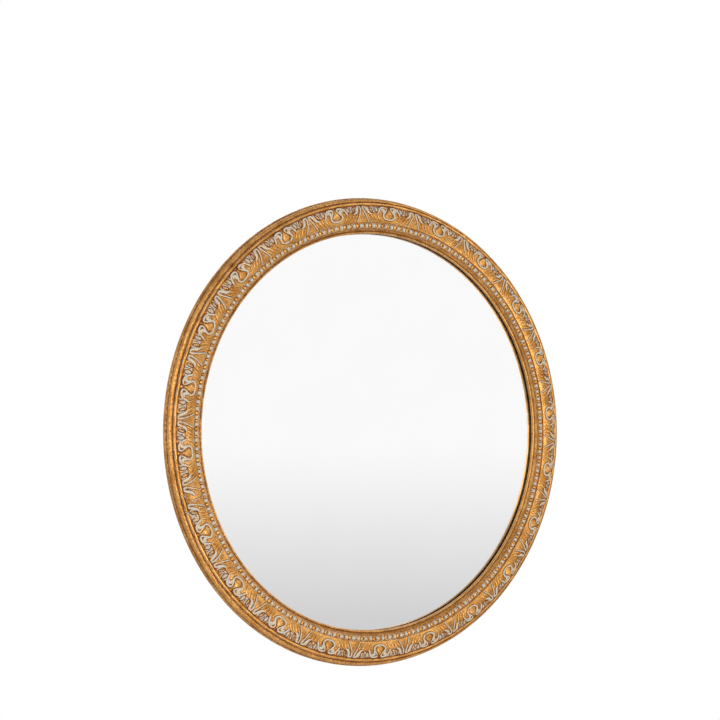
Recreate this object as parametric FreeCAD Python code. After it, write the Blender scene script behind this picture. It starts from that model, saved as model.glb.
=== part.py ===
import FreeCAD, Part
import math
import os

# Round wall mirror: a pane behind the lip of a turned, gilt wooden frame with a moulded frieze.
# Millimetres. The mirror faces -Y, the wall is the plane y = 0 behind it, and +Z is up.
# Radii are from the mirror's axis. Heights rise from the frame's back towards the viewer,
# depths go from the frame's back towards the wall, and bearings are in degrees clockwise
# from the top, as the viewer sees them.

# Overall sizes
outer_radius = 300.0
standoff = 6.0  # from the wall to the frame's back

# Outer edge of the frame: a chamfered back, two reeds and a quirk, inset from the widest point
back_inset = 2.5
chamfer_inset = 1.4
chamfer_height = 1.2
lower_reed_height = 4.8
reed_split_inset = 2.2
reed_split_height = 9.0
upper_reed_inset = 1.6
upper_reed_height = 12.0
reed_top_inset = 3.7
reed_top_height = 15.0
quirk_inset = 4.4
quirk_height = 14.6

# Bands of the frame's face, from the outside in
reed_band_width = 5.0
ridge_width = 5.2
frieze_width = 21.5
bead_channel_width = 7.6
sight_fillet_width = 1.1
cove_width = 2.0
sight_quirk_width = 0.4
nose_radius = 3.2

# Heights of the bands
ridge_foot_height = 16.0
ridge_height = 17.9
frieze_outer_height = 16.4
frieze_shoulder_height = 19.8
frieze_crest_height = 21.6
frieze_inner_height = 19.5
frieze_shoulder_share = 0.28  # of the frieze's width, from its outer edge
frieze_crest_share = 0.62
bead_bed_height = 16.2
sight_fillet_height = 16.9
cove_sag = 0.35
sight_quirk_depth = 0.5
lip_thickness = 4.3
nose_undercut = 0.3

# The pane and what lies behind it in the rabbet
glass_thickness = 4.0
silvering_thickness = 0.1
silvering_margin = 0.8
foam_thickness = 1.4
board_thickness = 3.5
board_clearance = 0.5
lip_lap = 6.0  # how far the lip covers the pane
rabbet_clearance = 2.0  # around the pane
pad_length = 24.0
pad_bearings = (40.0, 140.0, 220.0, 320.0)

# The two butt joints of the frame, and their dowels
upper_seam_bearing = 60.5
lower_seam_bearing = 253.8
full_turn = 360.0
dowel_radius = 3.0
dowel_length = 30.0
dowel_height = 6.5
dowel_spacing = 16.0
dowel_end_gap = 0.5

# The moulded ornament strips
strip_outer_thickness = 1.7
strip_inner_thickness = 2.4
right_repeats = 12
left_repeats = 10
right_setback = 0.8  # degrees from the lower seam to the palmettes beside it
left_setback = 2.9
left_stretch_share = 0.037  # how much wider the left strip's repeats grow towards the upper seam
relief_embed = 0.6  # how far the relief goes into its strip
rib_relief = 1.3
bud_relief = 0.8
leaf_relief = 1.9
eye_relief = 1.3
scroll_relief = 1.6
drop_relief = 1.1
cup_radius = 8.0
cup_gap = 36.0  # degrees, towards the outer edge of the frieze
cup_centre_share = 0.57
shoulder_radius = 6.0
scroll_band_width = 2.2
hook_radius = 1.7
drop_radius = 4.6
drop_top_share = 0.45
eye_hole_share = 0.34

# Places on the frieze, as shares of half a repeat along it and of its width from the outer edge
rib_shares = (
    (0.045, 0.06), (0.103, 0.06), (0.102, 0.56), (0.208, 0.97), (0.160, 0.97), (0.056, 0.60))
bud_shares = ((0.0, 0.12), (0.022, 0.42), (0.0, 0.72), (-0.022, 0.42))
leaf_shares = ((0.120, 0.06), (0.172, 0.36), (0.320, 0.56), (0.268, 0.37), (0.215, 0.06))
eye_shares = ((0.330, 0.24), (0.535, 0.20))
eye_radii = (2.4, 3.0)
# The same, from a scroll's middle
shoulder_shares = (0.194, 0.30)
hook_shares = (0.350, 0.39)

# The bead-and-reel strips
bead_base_thickness = 1.0
bead_pitch = 18.6
bead_radius = 3.1
bead_length = 5.2
bead_neck_radius = 1.2
reel_radius = 2.8
reel_length = 4.2
reel_spread = 7.4  # between the middles of the two reels of a pair
thread_width = 2.6
thread_top_width = 1.4
thread_height = 1.1
bead_sides = 4  # flat sides of the half-round sections
bead_shoulder_share = 0.55
bead_shoulder_radius_share = 0.86
bead_embed = 0.3

# The turn buttons and their screws
button_count = 6
first_button_bearing = 30.0
button_setback = 7.0  # from the rabbet's edge to the pivot
button_reach = 14.5
button_pivot_end_radius = 5.2
button_tip_end_radius = 3.8
button_thickness = 1.2
button_gap = 0.2
screw_radius = 1.75
screw_head_radius = 3.4
screw_head_edge = 0.7
screw_head_height = 2.0
screw_crown_radius = 2.2
screw_head_gap = 0.1
screw_length = 10.5
screw_point_length = 3.0
screw_point_radius = 0.4
screw_bite = 0.05  # around the shank in the wood
bore_extra = 0.5

# The strap hangers, each with a swinging wire ring
hanger_bearing = 70.0
strap_width = 10.0
strap_thickness = 0.9
strap_length = 40.0
strap_screw_places = (25.0, 34.0)  # from the barrel's axis down to the screws
strap_hole_gap = 0.2
ring_wire_radius = 1.25
ring_inner_width = 16.0
ring_corner_radius = 4.0
ring_side = 4.0
ring_gap = 0.3

# Bumpers between the frame and the wall
bumper_bearings = (50.0, 130.0, 230.0, 310.0)
bumper_foot_radius = 6.0
bumper_face_radius = 4.6

# Clearances
running_clearance = 0.05
glue_line = 0.05
overrun = 5.0

# Radii of the bands, and heights in the rabbet
ridge_outer_radius = outer_radius - reed_band_width
frieze_outer_radius = ridge_outer_radius - ridge_width
frieze_inner_radius = frieze_outer_radius - frieze_width
bead_inner_radius = frieze_inner_radius - bead_channel_width
cove_outer_radius = bead_inner_radius - sight_fillet_width
cove_inner_radius = cove_outer_radius - cove_width
nose_outer_radius = cove_inner_radius - sight_quirk_width
sight_radius = nose_outer_radius - nose_radius
glass_radius = sight_radius + lip_lap
rabbet_radius = glass_radius + rabbet_clearance
back_radius = outer_radius - back_inset
back_middle_radius = (rabbet_radius + back_radius) / 2
bead_middle_radius = (frieze_inner_radius + bead_inner_radius) / 2
rabbet_height = glass_thickness + silvering_thickness + foam_thickness + board_thickness
foam_height = board_thickness
silvering_height = foam_height + foam_thickness
glass_height = silvering_height + silvering_thickness
lip_height = rabbet_height + lip_thickness
bead_base_height = bead_bed_height + bead_base_thickness

centre = FreeCAD.Vector(0, 0, 0)
towards_wall = FreeCAD.Vector(0, 1, 0)
across = FreeCAD.Vector(1, 0, 0)


def spot(radius, height):
    """A point above the mirror's axis, for profiles that turn about it."""
    return FreeCAD.Vector(0, -standoff - height, radius)


def behind(x, depth, z):
    """A point behind the frame's back."""
    return FreeCAD.Vector(x, depth - standoff, z)


def trace(start, *steps):
    """A face inside a closed outline: each step is the end of a line, or an arc's middle and end."""
    edges = []
    here = start
    for step in steps:
        if isinstance(step, tuple):
            middle, end = step
            edges.append(Part.Arc(here, middle, end).toShape())
        else:
            end = step
            edges.append(Part.makeLine(here, end))
        here = end
    if not here.isEqual(start, Part.Precision.confusion()):
        edges.append(Part.makeLine(here, start))
    return Part.Face(Part.Wire(edges))


def turned(shape, bearing):
    """A copy of a shape, turned clockwise about the mirror's axis."""
    copy = shape.copy()
    copy.rotate(centre, towards_wall, bearing)
    return copy


def swept(profile, first_bearing, last_bearing):
    """A profile turned about the mirror's axis from one bearing to another."""
    return turned(profile, first_bearing).revolve(centre, towards_wall, last_bearing - first_bearing)


def disc(radius, height, thickness):
    """A round plate whose back lies at a height above the frame's back."""
    back = FreeCAD.Vector(0, -standoff - height, 0)
    return Part.makeCylinder(radius, thickness, back, -towards_wall)


def fused(shapes):
    """One solid from shapes that run into each other."""
    return shapes[0].multiFuse(shapes[1:]).removeSplitter()


seams = {
    "right": (upper_seam_bearing, lower_seam_bearing),
    "left": (lower_seam_bearing, upper_seam_bearing + full_turn),
}
palmettes = {
    "right": (upper_seam_bearing, lower_seam_bearing - right_setback, right_repeats, 0),
    "left": (lower_seam_bearing + left_setback, upper_seam_bearing + full_turn, left_repeats,
             left_stretch_share),
}
button_bearings = [first_button_bearing + full_turn * i / button_count for i in range(button_count)]
button_radius = rabbet_radius + button_setback
hanger_x = back_middle_radius * math.sin(math.radians(hanger_bearing))
hanger_z = back_middle_radius * math.cos(math.radians(hanger_bearing)) + strap_length / 2
both_sides = (-1, 1)
hanger_sides = dict(zip(("left", "right"), both_sides))
ring_depth = strap_thickness + ring_gap + ring_wire_radius


# The frame

def frame_profile():
    """Section of the wooden moulding, with seats for the ornament and bead strips."""
    cove_drop = sight_fillet_height - lip_height
    cove_chord = math.hypot(cove_width, cove_drop)
    cove_middle = spot(
        (cove_outer_radius + cove_inner_radius) / 2 + cove_sag * cove_drop / cove_chord,
        (sight_fillet_height + lip_height) / 2 - cove_sag * cove_width / cove_chord)
    nose_foot_height = lip_height - nose_radius
    nose_middle = spot(
        nose_outer_radius - nose_radius * math.sqrt(1 / 2),
        nose_foot_height + nose_radius * math.sqrt(1 / 2))
    return trace(
        spot(back_radius, 0),
        spot(outer_radius - chamfer_inset, chamfer_height),
        (spot(outer_radius, lower_reed_height), spot(outer_radius - reed_split_inset, reed_split_height)),
        (spot(outer_radius - upper_reed_inset, upper_reed_height),
         spot(outer_radius - reed_top_inset, reed_top_height)),
        spot(outer_radius - quirk_inset, quirk_height),
        spot(ridge_outer_radius, ridge_foot_height),
        (spot(ridge_outer_radius - ridge_width / 2, ridge_height),
         spot(frieze_outer_radius, ridge_foot_height)),
        spot(frieze_outer_radius, frieze_outer_height - strip_outer_thickness),
        spot(frieze_inner_radius, frieze_inner_height - strip_inner_thickness),
        spot(frieze_inner_radius, bead_bed_height),
        spot(bead_inner_radius, bead_bed_height),
        spot(bead_inner_radius, sight_fillet_height),
        spot(cove_outer_radius, sight_fillet_height),
        (cove_middle, spot(cove_inner_radius, lip_height)),
        spot(cove_inner_radius - sight_quirk_width / 2, lip_height - sight_quirk_depth),
        spot(nose_outer_radius, lip_height),
        (nose_middle, spot(sight_radius, nose_foot_height)),
        spot(sight_radius + nose_undercut, rabbet_height),
        spot(rabbet_radius, rabbet_height),
        spot(rabbet_radius, 0))


def dowel(seam_bearing, radius, extra_radius, extra_length):
    """A dowel, or the bore for one, across a seam of the frame."""
    length = dowel_length + 2 * extra_length
    end = FreeCAD.Vector(-length / 2, -standoff - dowel_height, radius)
    return turned(Part.makeCylinder(dowel_radius + extra_radius, length, end, across), seam_bearing)


def dowel_set(extra_radius, extra_length):
    """Both dowels of both seams, or their bores."""
    radii = (back_middle_radius - dowel_spacing / 2, back_middle_radius + dowel_spacing / 2)
    bearings = (upper_seam_bearing, lower_seam_bearing)
    return [dowel(bearing, radius, extra_radius, extra_length) for bearing in bearings for radius in radii]


def screw_places():
    """Where screws go into the frame's back: x and z of the turn buttons' and then the straps' screws."""
    for bearing in button_bearings:
        turn = math.radians(bearing)
        yield button_radius * math.sin(turn), button_radius * math.cos(turn)
    for side in hanger_sides.values():
        for place in strap_screw_places:
            yield side * hanger_x, hanger_z - place


def screw_bores():
    """Holes for all the screws in the frame's back."""
    length = screw_length + bore_extra + overrun
    return [Part.makeCylinder(screw_radius + screw_bite, length, behind(x, overrun, z), -towards_wall)
            for x, z in screw_places()]


def frame_segment(side):
    """One arc of the frame, bored for its dowels and screws."""
    bores = dowel_set(running_clearance, dowel_end_gap) + screw_bores()
    return swept(frame_profile(), *seams[side]).cut(bores)


# The ornament strips

def frieze_line(lift):
    """The crowned line of the frieze's section, from the outer edge to the inner, lifted off the ground."""
    outer = frieze_outer_radius - glue_line
    inner = frieze_inner_radius + glue_line
    return [
        spot(outer, frieze_outer_height + lift),
        spot(frieze_outer_radius - frieze_width * frieze_shoulder_share, frieze_shoulder_height + lift),
        spot(frieze_outer_radius - frieze_width * frieze_crest_share, frieze_crest_height + lift),
        spot(inner, frieze_inner_height + lift)]


def frieze_layer(relief):
    """Section of a layer that follows the frieze, from inside the strip to the top of the relief."""
    return trace(*frieze_line(relief), *reversed(frieze_line(-relief_embed)))


def strip_ground():
    """Section of an ornament strip without its relief: crowned face, flat seat."""
    outer = frieze_outer_radius - glue_line
    inner = frieze_inner_radius + glue_line
    return trace(
        *frieze_line(0),
        spot(inner, frieze_inner_height - strip_inner_thickness + glue_line),
        spot(outer, frieze_outer_height - strip_outer_thickness + glue_line))


def on_frieze(shares, repeat_angle, side):
    """A point of the wall plane under the frieze, from a place on it."""
    along, inward = shares
    radius = frieze_outer_radius - frieze_width * inward
    turn = side * along * math.radians(repeat_angle) / 2
    return FreeCAD.Vector(radius * math.sin(turn), 0, radius * math.cos(turn))


def raised(footprints, relief, repeat_angle):
    """Relief on these footprints in the wall plane, following the frieze's crown."""
    height = standoff + frieze_crest_height + relief + overrun
    layer = swept(frieze_layer(relief), -repeat_angle, repeat_angle)
    return [layer.common(face.extrude(-towards_wall * height)) for face in footprints]


def round_face(radius, middle):
    """A round footprint in the wall plane."""
    return Part.Face(Part.Wire(Part.makeCircle(radius, middle, towards_wall)))


def rib(repeat_angle, side):
    """One of a palmette's two flaring ribs."""
    places = [on_frieze(shares, repeat_angle, side) for shares in rib_shares]
    start, top, top_bend, foot, foot_end, foot_bend = places
    face = trace(start, top, (top_bend, foot), foot_end, (foot_bend, start))
    return raised([face], rib_relief, repeat_angle)


def bud(repeat_angle):
    """The slim bud between a palmette's ribs."""
    top, bulge, foot, other_bulge = [on_frieze(shares, repeat_angle, 1) for shares in bud_shares]
    face = trace(top, (bulge, foot), (other_bulge, top))
    return raised([face], bud_relief, repeat_angle)


def leaf(repeat_angle, side):
    """The broad leaf that curls away from a palmette."""
    root, belly, tip, hollow, top = [on_frieze(shares, repeat_angle, side) for shares in leaf_shares]
    return raised([trace(root, (belly, tip), (hollow, top))], leaf_relief, repeat_angle)


def eyes(repeat_angle, side):
    """The two pierced curls that follow a leaf."""
    faces = []
    for shares, radius in zip(eye_shares, eye_radii):
        middle = on_frieze(shares, repeat_angle, side)
        faces.append(round_face(radius, middle).cut(round_face(radius * eye_hole_share, middle)))
    return raised(faces, eye_relief, repeat_angle)


def shoulder(repeat_angle, side):
    """Footprints of one of a scroll's two shoulders: a half ring, and the hook at its outer foot."""
    middle = on_frieze(shoulder_shares, repeat_angle, side)
    inner_radius = shoulder_radius - scroll_band_width
    outwards = FreeCAD.Vector(0, 0, 1)
    half_ring = trace(
        middle + across * shoulder_radius,
        (middle + outwards * shoulder_radius, middle - across * shoulder_radius),
        middle - across * inner_radius,
        (middle + outwards * inner_radius, middle + across * inner_radius))
    return [half_ring, round_face(hook_radius, on_frieze(hook_shares, repeat_angle, side))]


def scroll(repeat_angle):
    """A cup, open to the outer edge, whose band turns out into two shoulders, and the drop in it."""
    middle_radius = frieze_outer_radius - frieze_width * cup_centre_share
    middle = FreeCAD.Vector(0, 0, middle_radius)
    half_gap = math.radians(cup_gap) / 2
    far = cup_radius + overrun
    gap = trace(
        middle,
        middle + FreeCAD.Vector(-far * math.sin(half_gap), 0, far * math.cos(half_gap)),
        middle + FreeCAD.Vector(far * math.sin(half_gap), 0, far * math.cos(half_gap)))
    cup = round_face(cup_radius, middle).cut(round_face(cup_radius - scroll_band_width, middle)).cut(gap)
    shoulders = [face for side in both_sides for face in shoulder(repeat_angle, side)]
    band = cup.multiFuse(shoulders).removeSplitter()
    drop_base = FreeCAD.Vector(0, -standoff - frieze_crest_height + relief_embed, middle_radius)
    drop = Part.makeCone(drop_radius, drop_radius * drop_top_share, drop_relief + relief_embed,
                         drop_base, -towards_wall)
    return raised([band], scroll_relief, repeat_angle) + [drop]


def palmette_bearing(side, number):
    """Bearing of one of a strip's palmettes, counted from the strip's start."""
    first, last, repeats, stretch = palmettes[side]
    share = number / repeats
    return first + (last - first) * share * (1 - stretch + stretch * share)


def ornament_strip(side):
    """A moulded strip for one arc of the frame, with only what fits of the palmettes at its ends."""
    first, last, repeats, _ = palmettes[side]
    repeat_angle = (last - first) / repeats
    strip_start, strip_end = seams[side]
    shapes = [swept(strip_ground(), strip_start, strip_end)]
    beside = [(rib, rib_shares), (leaf, leaf_shares)]
    sides = [(make(repeat_angle, way), way * max(along for along, inward in shares) * repeat_angle / 2)
             for make, shares in beside for way in both_sides]
    buds = bud(repeat_angle)
    scrolls = scroll(repeat_angle)
    curls = {way: eyes(repeat_angle, way) for way in both_sides}
    bearings = [palmette_bearing(side, i) for i in range(repeats + 1)]
    for bearing in bearings:
        for made, reach in sides:
            if strip_start <= bearing + reach <= strip_end:
                shapes += [turned(shape, bearing) for shape in made]
        if strip_start < bearing < strip_end:
            shapes += [turned(shape, bearing) for shape in buds]
    for bearing, following in zip(bearings, bearings[1:]):
        shapes += [turned(shape, bearing) for shape in curls[1]]
        shapes += [turned(shape, (bearing + following) / 2) for shape in scrolls]
        shapes += [turned(shape, following) for shape in curls[-1]]
    return fused(shapes)


# The bead-and-reel strips

def half_round(radius, along):
    """A flat-sided half-round section of the bead string, set a little into its base."""
    corners = []
    for i in range(bead_sides + 1):
        turn = math.pi * i / bead_sides
        corners.append(FreeCAD.Vector(
            along,
            -standoff - bead_base_height + bead_embed - radius * math.sin(turn),
            bead_middle_radius + radius * math.cos(turn)))
    return Part.makePolygon(corners + corners[:1])


def bead():
    """One round bead of the string."""
    half = bead_length / 2
    sections = (
        (-half, bead_neck_radius),
        (-half * bead_shoulder_share, bead_radius * bead_shoulder_radius_share),
        (0, bead_radius),
        (half * bead_shoulder_share, bead_radius * bead_shoulder_radius_share),
        (half, bead_neck_radius))
    return Part.makeLoft([half_round(radius, along) for along, radius in sections], True, True)


def reel(middle):
    """One of the two reels between beads."""
    ends = (middle - reel_length / 2, middle + reel_length / 2)
    return Part.makeLoft([half_round(reel_radius, along) for along in ends], True, True)


def bead_base():
    """Section of the flat base with the ridged thread that the beads and reels sit on."""
    outer = frieze_inner_radius - glue_line
    inner = bead_inner_radius + glue_line
    bottom = bead_bed_height + glue_line
    return trace(
        spot(outer, bottom),
        spot(outer, bead_base_height),
        spot(bead_middle_radius + thread_width / 2, bead_base_height),
        spot(bead_middle_radius + thread_top_width / 2, bead_base_height + thread_height),
        spot(bead_middle_radius - thread_top_width / 2, bead_base_height + thread_height),
        spot(bead_middle_radius - thread_width / 2, bead_base_height),
        spot(inner, bead_base_height),
        spot(inner, bottom))


def bead_strip(side):
    """The bead-and-reel string of one arc of the frame."""
    start, end = seams[side]
    count = round(math.radians(end - start) * bead_middle_radius / bead_pitch)
    pitch = (end - start) / count
    shapes = [swept(bead_base(), start, end)]
    for i in range(count):
        bearing = start + pitch * (i + 1 / 2)
        half_turn = math.degrees(reel_spread / 2 / bead_middle_radius)
        shapes.append(turned(bead(), bearing - pitch / 4))
        shapes.append(turned(reel(0), bearing + pitch / 4 - half_turn))
        shapes.append(turned(reel(0), bearing + pitch / 4 + half_turn))
    return fused(shapes)


# The pane, its padding and the board

def edge_pads():
    """Pads that centre the pane in the rabbet."""
    inner = glass_radius + glue_line
    outer = rabbet_radius - glue_line
    section = trace(
        spot(inner, glass_height), spot(outer, glass_height), spot(outer, rabbet_height),
        spot(inner, rabbet_height))
    half_turn = math.degrees(pad_length / 2 / rabbet_radius)
    return [swept(section, bearing - half_turn, bearing + half_turn) for bearing in pad_bearings]


# The turn buttons, the hangers and their screws

def turn_button(bearing):
    """A flat button, wider at its pivot, that points inwards over the board."""
    lean = math.acos((button_pivot_end_radius - button_tip_end_radius) / button_reach)
    pivot = behind(0, button_gap, button_radius)
    tip = behind(0, button_gap, button_radius - button_reach)
    down = FreeCAD.Vector(0, 0, -1)
    right = across * math.sin(lean) + down * math.cos(lean)
    left = -across * math.sin(lean) + down * math.cos(lean)
    outline = trace(
        pivot + right * button_pivot_end_radius,
        (pivot - down * button_pivot_end_radius, pivot + left * button_pivot_end_radius),
        tip + left * button_tip_end_radius,
        (tip + down * button_tip_end_radius, tip + right * button_tip_end_radius))
    plate = outline.extrude(towards_wall * button_thickness)
    hole = Part.makeCylinder(screw_radius + running_clearance, button_thickness + 2 * overrun,
                             pivot - towards_wall * overrun, towards_wall)
    return turned(plate.cut(hole), bearing)


def screw(x, z, seat_depth):
    """A pan-head wood screw, its head's underside at a depth behind the frame's back."""
    seat = behind(x, seat_depth, z)
    shank_length = seat_depth + screw_length - screw_point_length
    shank = Part.makeCylinder(screw_radius, shank_length, seat, -towards_wall)
    point = Part.makeCone(screw_radius, screw_point_radius, screw_point_length,
                          behind(x, screw_point_length - screw_length, z), -towards_wall)
    rim = Part.makeCylinder(screw_head_radius, screw_head_edge, seat, towards_wall)
    crown = Part.makeCone(screw_head_radius, screw_crown_radius, screw_head_height - screw_head_edge,
                          behind(x, seat_depth + screw_head_edge, z), towards_wall)
    return fused([shank, point, rim, crown])


def button_screws():
    """The screws that the turn buttons turn on."""
    seat = button_gap + button_thickness + screw_head_gap
    return [screw(x, z, seat) for x, z in list(screw_places())[:button_count]]


def hanger_screws():
    """The screws of both strap hangers."""
    return [screw(x, z, strap_thickness) for x, z in list(screw_places())[button_count:]]


def hanger_strap(side):
    """A strap with a rounded foot, two screw holes and a barrel for the ring at its head."""
    x = side * hanger_x
    half = strap_width / 2
    head_left = behind(x - half, 0, hanger_z)
    head_right = behind(x + half, 0, hanger_z)
    foot_z = hanger_z - strap_length
    outline = trace(
        head_left, head_right, behind(x + half, 0, foot_z + half),
        (behind(x, 0, foot_z), behind(x - half, 0, foot_z + half)))
    plate = outline.extrude(towards_wall * strap_thickness)
    bore_radius = ring_wire_radius + running_clearance
    end = behind(x - half, ring_depth, hanger_z)
    barrel = Part.makeCylinder(bore_radius + strap_thickness, strap_width, end, across)
    bore = Part.makeCylinder(bore_radius, strap_width + 2 * overrun, end - across * overrun, across)
    holes = [Part.makeCylinder(screw_radius + strap_hole_gap, strap_thickness + 2 * overrun,
                               behind(x, -overrun, hanger_z - place), towards_wall)
             for place in strap_screw_places]
    return plate.fuse(barrel).removeSplitter().cut([bore] + holes)


def hanger_ring(side):
    """A wire ring with a straight bar in the barrel, hanging down over its strap."""
    x = side * hanger_x
    half = ring_inner_width / 2 + ring_wire_radius
    bar = half - ring_corner_radius
    side_top = hanger_z - ring_corner_radius
    side_foot = side_top - ring_side
    bend = ring_corner_radius * (1 - math.sqrt(1 / 2))

    def at(offset, z):
        return behind(x + offset, ring_depth, z)

    path = Part.Wire([
        Part.makeLine(at(-bar, hanger_z), at(bar, hanger_z)),
        Part.Arc(at(bar, hanger_z), at(half - bend, hanger_z - bend), at(half, side_top)).toShape(),
        Part.makeLine(at(half, side_top), at(half, side_foot)),
        Part.Arc(at(half, side_foot), at(0, side_foot - half), at(-half, side_foot)).toShape(),
        Part.makeLine(at(-half, side_foot), at(-half, side_top)),
        Part.Arc(at(-half, side_top), at(bend - half, hanger_z - bend), at(-bar, hanger_z)).toShape()])
    wire = Part.Wire(Part.makeCircle(ring_wire_radius, at(-bar, hanger_z), across))
    return path.makePipeShell([wire], True, False)


def wall_bumpers():
    """Tapered bumpers on the frame's back that touch the wall."""
    foot = behind(0, 0, back_middle_radius)
    bumper = Part.makeCone(bumper_foot_radius, bumper_face_radius, standoff, foot, towards_wall)
    return [turned(bumper, bearing) for bearing in bumper_bearings]


# All the pieces by name

pieces = {
    "joint_dowels": dowel_set(0, 0),
    "mirror_glass": [disc(glass_radius, glass_height, glass_thickness)],
    "mirror_silvering": [disc(glass_radius - silvering_margin, silvering_height, silvering_thickness)],
    "edge_pads": edge_pads(),
    "foam_sheet": [disc(glass_radius, foam_height, foam_thickness)],
    "backing_board": [disc(rabbet_radius - board_clearance, 0, board_thickness)],
    "button_screws": button_screws(),
    "hanger_screws": hanger_screws(),
    "wall_bumpers": wall_bumpers(),
}
for arc in seams:
    pieces["frame_segment_" + arc] = [frame_segment(arc)]
    pieces["ornament_strip_" + arc] = [ornament_strip(arc)]
    pieces["bead_strip_" + arc] = [bead_strip(arc)]
for number, bearing in enumerate(button_bearings, start=1):
    pieces["turn_button_" + str(number)] = [turn_button(bearing)]
for name, sign in hanger_sides.items():
    pieces["hanger_strap_" + name] = [hanger_strap(sign)]
    pieces["hanger_ring_" + name] = [hanger_ring(sign)]

os.makedirs("parts", exist_ok=True)
for node, shapes in pieces.items():
    solids = [solid for shape in shapes for solid in shape.Solids]
    whole = solids[0] if len(solids) == 1 else Part.makeCompound(solids)
    whole.exportStep(os.path.join("parts", node + ".step"))
    print(node, len(solids), "solids,", round(whole.Volume), "mm3, valid:", whole.isValid())
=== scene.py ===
import math

import bmesh
import bpy
import numpy as np
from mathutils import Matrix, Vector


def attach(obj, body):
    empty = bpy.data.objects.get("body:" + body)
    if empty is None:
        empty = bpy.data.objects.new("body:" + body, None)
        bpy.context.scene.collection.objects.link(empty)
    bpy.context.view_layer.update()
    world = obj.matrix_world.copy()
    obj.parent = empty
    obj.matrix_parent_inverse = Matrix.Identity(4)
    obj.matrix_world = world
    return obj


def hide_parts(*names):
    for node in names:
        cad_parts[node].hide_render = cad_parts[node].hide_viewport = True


# Round gilt mirror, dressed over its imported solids.
# The mirror faces -Y and the wall is the plane y = 0. Radii are from the mirror's axis, heights rise
# from the frame's back towards the viewer, and bearings are in degrees clockwise from the top.
# Sizes of the frame are in millimetres, and MM turns them into metres.

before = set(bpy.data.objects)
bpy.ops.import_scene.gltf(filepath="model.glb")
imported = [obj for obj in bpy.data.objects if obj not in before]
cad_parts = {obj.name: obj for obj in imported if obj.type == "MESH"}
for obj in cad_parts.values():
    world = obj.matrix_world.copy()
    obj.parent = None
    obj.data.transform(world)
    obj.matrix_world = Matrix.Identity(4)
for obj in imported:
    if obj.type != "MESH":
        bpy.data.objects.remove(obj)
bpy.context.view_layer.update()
MM = 0.001

# Sizes of the moulding, close to those of the solids
standoff = 6.0
outer_radius = 300.0
back_radius = 297.5
ridge_outer_radius = 293.3
frieze_outer_radius = 289.8
frieze_width = 21.5
bead_channel_width = 7.6
sight_fillet_width = 1.1
cove_width = 2.0
sight_quirk_width = 0.4
nose_size = 2.3
rabbet_radius = 262.0
rabbet_height = 9.0
lip_height = 13.3
sight_fillet_height = 16.9
bead_bed_height = 16.2
strip_outer_height = 14.7
strip_inner_height = 17.1
frieze_inner_radius = frieze_outer_radius - frieze_width
bead_inner_radius = frieze_inner_radius - bead_channel_width
bead_middle_radius = (frieze_inner_radius + bead_inner_radius) / 2
cove_outer_radius = bead_inner_radius - sight_fillet_width
cove_inner_radius = cove_outer_radius - cove_width
nose_outer_radius = cove_inner_radius - sight_quirk_width
sight_radius = nose_outer_radius - nose_size
frieze_middle_radius = frieze_outer_radius - frieze_width / 2

# The frieze's crown and the ridge outside it, each as three points of an arc
crown_arc = ((frieze_outer_radius, 16.4), (277.2, 21.6), (frieze_inner_radius, 19.5))
ridge_arc = ((ridge_outer_radius, 15.9), (291.5, 17.9), (frieze_outer_radius, 16.0))

# The two arcs of the frame. palmettes are the bearings that a strip of ornament starts and ends on, stretch
# and lead shift its repeats along it, and bead_drift is the beads' shift in pitches at shares of the arc.
full_turn = 360.0
upper_seam = 60.5
lower_seam = 253.8
right_setback, left_setback = 0.8, 3.4
arcs = {
    "right": {"seams": (upper_seam, lower_seam),
              "palmettes": (upper_seam, lower_seam - right_setback),
              "repeats": 12, "stretch": 0.0, "lead": 0.021,
              "bead_drift": ((0.0, 1.0), (-0.18, -0.42))},
    "left": {"seams": (lower_seam, upper_seam + full_turn),
             "palmettes": (lower_seam + left_setback, upper_seam + full_turn),
             "repeats": 10, "stretch": 0.05, "lead": 0.0,
             "bead_drift": ((0.0, 0.43, 0.54, 1.0), (0.5, 0.25, 0.25, 0.7))},
}
column_step = 0.75  # degrees between the columns of turned meshes
seam_gap = 0.02  # degrees, half of the hairline between the arcs
strip_clearance = 0.05  # mm between a strip and the moulding under it
plate_sharp_degrees = 30.0
bead_sharp_degrees = 65.0


# Geometry

def circle_through(a, b, c):
    """Centre and radius of the circle through three points."""
    (ax, ay), (bx, by), (cx, cy) = a, b, c
    twice_area = 2 * (ax * (by - cy) + bx * (cy - ay) + cx * (ay - by))
    a2, b2, c2 = ax * ax + ay * ay, bx * bx + by * by, cx * cx + cy * cy
    x = (a2 * (by - cy) + b2 * (cy - ay) + c2 * (ay - by)) / twice_area
    y = (a2 * (cx - bx) + b2 * (ax - cx) + c2 * (bx - ax)) / twice_area
    return x, y, math.hypot(ax - x, ay - y)


def arc_points(a, b, c, count):
    """Points on the arc from a over b to c."""
    x, y, radius = circle_through(a, b, c)
    first, middle, last = [math.atan2(p[1] - y, p[0] - x) for p in (a, b, c)]
    middle = first + (middle - first + math.pi) % math.tau - math.pi
    last = middle + (last - middle + math.pi) % math.tau - math.pi
    return [(x + radius * math.cos(t), y + radius * math.sin(t)) for t in np.linspace(first, last, count)]


def arc_height(three_points, radius):
    """Height of an arc's upper side over a radius."""
    x, y, size = circle_through(*three_points)
    return y + np.sqrt(np.maximum(size ** 2 - (radius - x) ** 2, 0))


def face_height(radius):
    """Height of the frieze's crown and of the ridge outside it."""
    return np.maximum(arc_height(crown_arc, radius), arc_height(ridge_arc, radius))


def place(radius, height, bearing):
    """Points in metres from radii and heights in mm and bearings in degrees."""
    radius, height, bearing = np.broadcast_arrays(radius, height, bearing)
    turn = np.radians(bearing)
    return np.stack([radius * np.sin(turn), -standoff - height, radius * np.cos(turn)], axis=-1) * MM


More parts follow.
